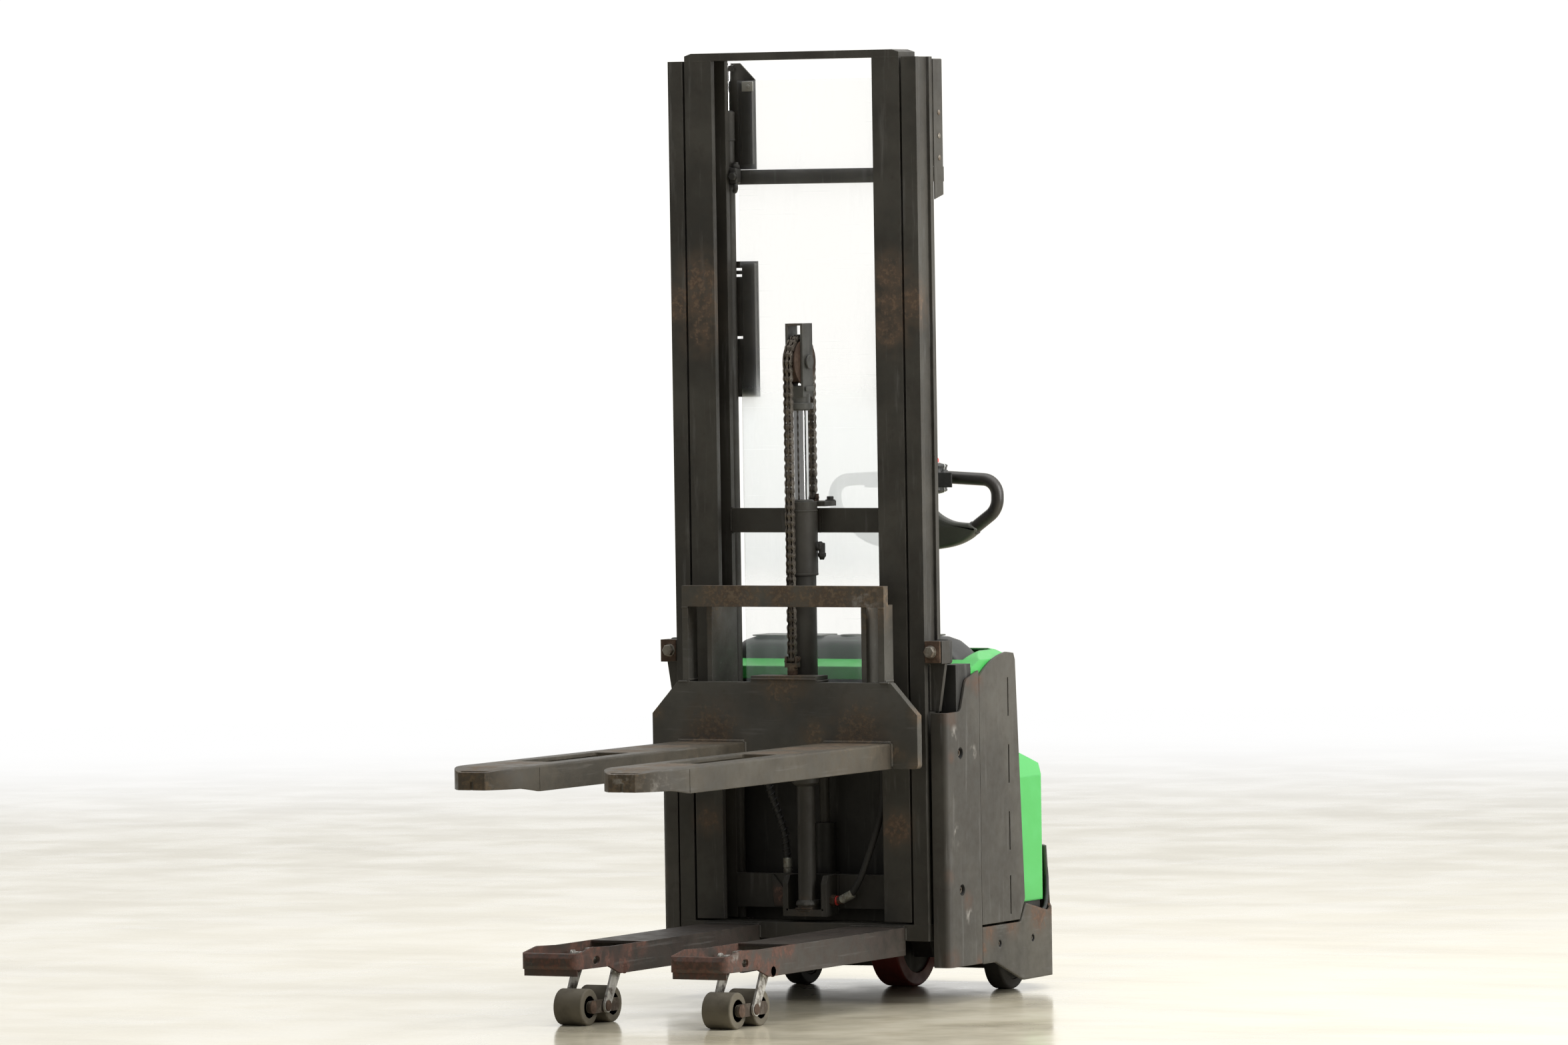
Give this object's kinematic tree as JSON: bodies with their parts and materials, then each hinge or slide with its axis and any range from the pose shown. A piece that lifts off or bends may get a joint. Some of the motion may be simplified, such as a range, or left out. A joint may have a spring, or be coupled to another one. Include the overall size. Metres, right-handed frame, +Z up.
{
  "type": "electric pedestrian stacker",
  "caption": "Walk-behind electric stacker with telescopic mast, fork carriage on a chain, raisable support arms and a tiller-steered drive.",
  "frame": {"origin": "floor level below the centre of the overall length and width", "axes": "+Z up, forks point to -Y, X = 0 is the mid plane"},
  "size_m": [0.77, 1.939, 2.255],
  "materials": {
    "frame_paint": "satin",
    "arm_paint": "worn satin",
    "fork_paint": "worn satin with rust",
    "chrome_rod": "polished",
    "yoke_paint": "satin",
    "chain_steel": "oiled",
    "worn_steel": "worn",
    "roller_steel": "rolled",
    "load_tyre": "worn polyurethane",
    "drive_tyre": "polyurethane",
    "cast_parts": "painted casting",
    "green_cover": "semi-gloss",
    "black_plastic": "moulded grain",
    "red_button": "gloss",
    "bright_metal": "satin",
    "motor_paint": "satin",
    "hose_rubber": "matt",
    "clear_screen": "clear sheet"
  },
  "bodies": {
    "chassis": {"front_panels": "frame_paint", "rear_panels": "frame_paint", "skirt": "frame_paint", "chassis_frame": "frame_paint", "slew_bearing": "roller_steel", "battery": "black_plastic", "top_hood": "green_cover", "console": "black_plastic", "motor_hood": "green_cover", "power_unit": "motor_paint", "controller": "bright_metal", "initial_lift_cylinder": "frame_paint"},
    "drive_unit": {"drive_unit": "cast_parts"},
    "drive_wheel": {"drive_hub": "cast_parts", "drive_tyre": "drive_tyre"},
    "caster_left": {"caster_fork_left": "cast_parts"},
    "caster_right": {"caster_fork_right": "cast_parts"},
    "caster_wheel_left": {"caster_wheel_left": "load_tyre"},
    "caster_wheel_right": {"caster_wheel_right": "load_tyre"},
    "tiller": {"tiller_arm": "black_plastic", "tiller_head": "black_plastic"},
    "belly_button": {"belly_button": "red_button"},
    "speed_paddles": {"speed_paddles": "black_plastic"},
    "lift_rocker": {"lift_rocker": "black_plastic"},
    "key_switch": {"key_switch": "bright_metal"},
    "emergency_stop": {"emergency_stop": "red_button"},
    "lift_frame": {"outer_uprights": "frame_paint", "outer_crossbars": "frame_paint", "support_arm_left": "arm_paint", "support_arm_right": "arm_paint", "side_cylinders": "frame_paint", "guard_screen": "clear_screen", "rear_guards": "frame_paint"},
    "outer_rollers": {"outer_rollers": "roller_steel"},
    "wheel_links": {"wheel_links": "worn_steel"},
    "pivot_pins": {"pivot_pins": "worn_steel"},
    "push_rods": {"push_rods": "worn_steel"},
    "bogie_left": {"bogie_left": "worn_steel"},
    "bogie_right": {"bogie_right": "worn_steel"},
    "load_wheel_left_front": {"load_wheel_left_front": "load_tyre"},
    "load_wheel_left_rear": {"load_wheel_left_rear": "load_tyre"},
    "load_wheel_right_front": {"load_wheel_right_front": "load_tyre"},
    "load_wheel_right_rear": {"load_wheel_right_rear": "load_tyre"},
    "inner_mast": {"inner_uprights": "frame_paint", "inner_crossbars": "frame_paint", "lift_cylinder": "frame_paint", "side_rods": "chrome_rod", "hydraulic_hoses": "hose_rubber", "chain_rear": "chain_steel"},
    "inner_rollers": {"inner_rollers": "roller_steel"},
    "lift_rod": {"lift_rod": "chrome_rod", "yoke": "yoke_paint", "chain_wrap": "chain_steel"},
    "chain_sheave": {"chain_sheave": "chain_steel"},
    "carriage": {"carriage_frame": "fork_paint", "fork_left": "fork_paint", "fork_right": "fork_paint", "chain_front": "chain_steel"},
    "carriage_rollers_upper": {"carriage_rollers_upper": "roller_steel"},
    "carriage_rollers_lower": {"carriage_rollers_lower": "roller_steel"}
  },
  "joints": [
    {"name": "initial_lift", "type": "slide", "parent": "chassis", "child": "lift_frame", "axis": [0, 0, 1], "range_m": [-0.095, 0]},
    {"name": "link_swing", "type": "hinge", "parent": "lift_frame", "child": "wheel_links", "pos_m": [0, -0.3945, 0.127], "axis": [1, 0, 0], "range_deg": [-66.61, 0]},
    {"name": "pin_level", "type": "hinge", "parent": "wheel_links", "child": "pivot_pins", "pos_m": [0, -0.4425, 0.0425], "axis": [1, 0, 0], "range_deg": [0, 66.61]},
    {"name": "bogie_left_tilt", "type": "hinge", "parent": "pivot_pins", "child": "bogie_left", "pos_m": [-0.195, -0.4425, 0.0425], "axis": [1, 0, 0], "range_deg": [-6, 6]},
    {"name": "load_wheel_left_front_spin", "type": "hinge", "parent": "bogie_left", "child": "load_wheel_left_front", "pos_m": [-0.195, -0.4995, 0.0425], "axis": [1, 0, 0], "continuous": true},
    {"name": "load_wheel_left_rear_spin", "type": "hinge", "parent": "bogie_left", "child": "load_wheel_left_rear", "pos_m": [-0.195, -0.3855, 0.0425], "axis": [1, 0, 0], "continuous": true},
    {"name": "bogie_right_tilt", "type": "hinge", "parent": "pivot_pins", "child": "bogie_right", "pos_m": [0.195, -0.4425, 0.0425], "axis": [1, 0, 0], "range_deg": [-6, 6]},
    {"name": "load_wheel_right_front_spin", "type": "hinge", "parent": "bogie_right", "child": "load_wheel_right_front", "pos_m": [0.195, -0.4995, 0.0425], "axis": [1, 0, 0], "continuous": true},
    {"name": "load_wheel_right_rear_spin", "type": "hinge", "parent": "bogie_right", "child": "load_wheel_right_rear", "pos_m": [0.195, -0.3855, 0.0425], "axis": [1, 0, 0], "continuous": true},
    {"name": "push_rod_travel", "type": "slide", "parent": "lift_frame", "child": "push_rods", "axis": [0, 1, 0], "range_m": [0, 0.04174]},
    {"name": "mast_lift", "type": "slide", "parent": "lift_frame", "child": "inner_mast", "axis": [0, 0, 1], "range_m": [0, 1.4]},
    {"name": "outer_roller_spin", "type": "hinge", "parent": "lift_frame", "child": "outer_rollers", "pos_m": [0, 0.3125, 2.19], "axis": [1, 0, 0], "continuous": true},
    {"name": "inner_roller_spin", "type": "hinge", "parent": "inner_mast", "child": "inner_rollers", "pos_m": [0, 0.3125, 0.245], "axis": [1, 0, 0], "continuous": true},
    {"name": "free_lift", "type": "slide", "parent": "inner_mast", "child": "lift_rod", "axis": [0, 0, 1], "range_m": [-0.21, 0.54], "deforming": ["chain_rear"]},
    {"name": "chain_sheave_spin", "type": "hinge", "parent": "lift_rod", "child": "chain_sheave", "pos_m": [0, 0.2895, 1.519], "axis": [1, 0, 0], "continuous": true},
    {"name": "carriage_lift", "type": "slide", "parent": "lift_rod", "child": "carriage", "axis": [0, 0, 1], "range_m": [-0.21, 0.54], "deforming": ["chain_front"]},
    {"name": "carriage_roller_upper_spin", "type": "hinge", "parent": "carriage", "child": "carriage_rollers_upper", "pos_m": [0, 0.3125, 0.925], "axis": [1, 0, 0], "continuous": true},
    {"name": "carriage_roller_lower_spin", "type": "hinge", "parent": "carriage", "child": "carriage_rollers_lower", "pos_m": [0, 0.3125, 0.642], "axis": [1, 0, 0], "continuous": true},
    {"name": "steering", "type": "hinge", "parent": "chassis", "child": "drive_unit", "pos_m": [0, 0.7845, 0.28], "axis": [0, 0, 1], "range_deg": [-90, 90]},
    {"name": "drive_wheel_spin", "type": "hinge", "parent": "drive_unit", "child": "drive_wheel", "pos_m": [0, 0.7845, 0.115], "axis": [1, 0, 0], "continuous": true},
    {"name": "tiller_tilt", "type": "hinge", "parent": "drive_unit", "child": "tiller", "pos_m": [0, 0.8845, 0.65], "axis": [1, 0, 0], "range_deg": [-80, 0], "stiffness_Nm_per_rad": 40, "springref_deg": 17.19},
    {"name": "belly_button_press", "type": "slide", "parent": "tiller", "child": "belly_button", "axis": [0, 0, 1], "range_m": [-0.008, 0], "stiffness_N_per_m": 800},
    {"name": "speed_paddle_turn", "type": "hinge", "parent": "tiller", "child": "speed_paddles", "pos_m": [0, 0.8485, 1.222], "axis": [1, 0, 0], "range_deg": [-25, 25], "stiffness_Nm_per_rad": 0.5},
    {"name": "lift_rocker_tilt", "type": "hinge", "parent": "tiller", "child": "lift_rocker", "pos_m": [0, 0.9085, 1.222], "axis": [1, 0, 0], "range_deg": [-8, 8], "stiffness_Nm_per_rad": 0.5},
    {"name": "key_turn", "type": "hinge", "parent": "chassis", "child": "key_switch", "pos_m": [0.11, 0.5545, 0.88], "axis": [0, 0, 1], "range_deg": [0, 90]},
    {"name": "emergency_stop_press", "type": "slide", "parent": "chassis", "child": "emergency_stop", "axis": [0, 0, 1], "range_m": [-0.006, 0]},
    {"name": "caster_left_swivel", "type": "hinge", "parent": "chassis", "child": "caster_left", "pos_m": [-0.275, 0.7615, 0.165], "axis": [0, 0, 1], "continuous": true},
    {"name": "caster_wheel_left_spin", "type": "hinge", "parent": "caster_left", "child": "caster_wheel_left", "pos_m": [-0.275, 0.7815, 0.075], "axis": [1, 0, 0], "continuous": true},
    {"name": "caster_right_swivel", "type": "hinge", "parent": "chassis", "child": "caster_right", "pos_m": [0.275, 0.7615, 0.165], "axis": [0, 0, 1], "continuous": true},
    {"name": "caster_wheel_right_spin", "type": "hinge", "parent": "caster_right", "child": "caster_wheel_right", "pos_m": [0.275, 0.7815, 0.075], "axis": [1, 0, 0], "continuous": true}
  ],
  "couplings": [
    {"joint": "link_swing", "follows": "initial_lift", "rad_per_m": 12.236},
    {"joint": "pin_level", "follows": "initial_lift", "rad_per_m": -12.236},
    {"joint": "push_rod_travel", "follows": "initial_lift", "ratio": -0.43924},
    {"joint": "outer_roller_spin", "follows": "mast_lift", "rad_per_m": 39.216},
    {"joint": "inner_roller_spin", "follows": "mast_lift", "rad_per_m": -39.216},
    {"joint": "chain_sheave_spin", "follows": "free_lift", "rad_per_m": -17.241},
    {"joint": "carriage_lift", "follows": "free_lift", "ratio": 1},
    {"joint": "carriage_roller_upper_spin", "follows": "free_lift", "rad_per_m": -78.431},
    {"joint": "carriage_roller_lower_spin", "follows": "free_lift", "rad_per_m": 78.431}
  ]
}
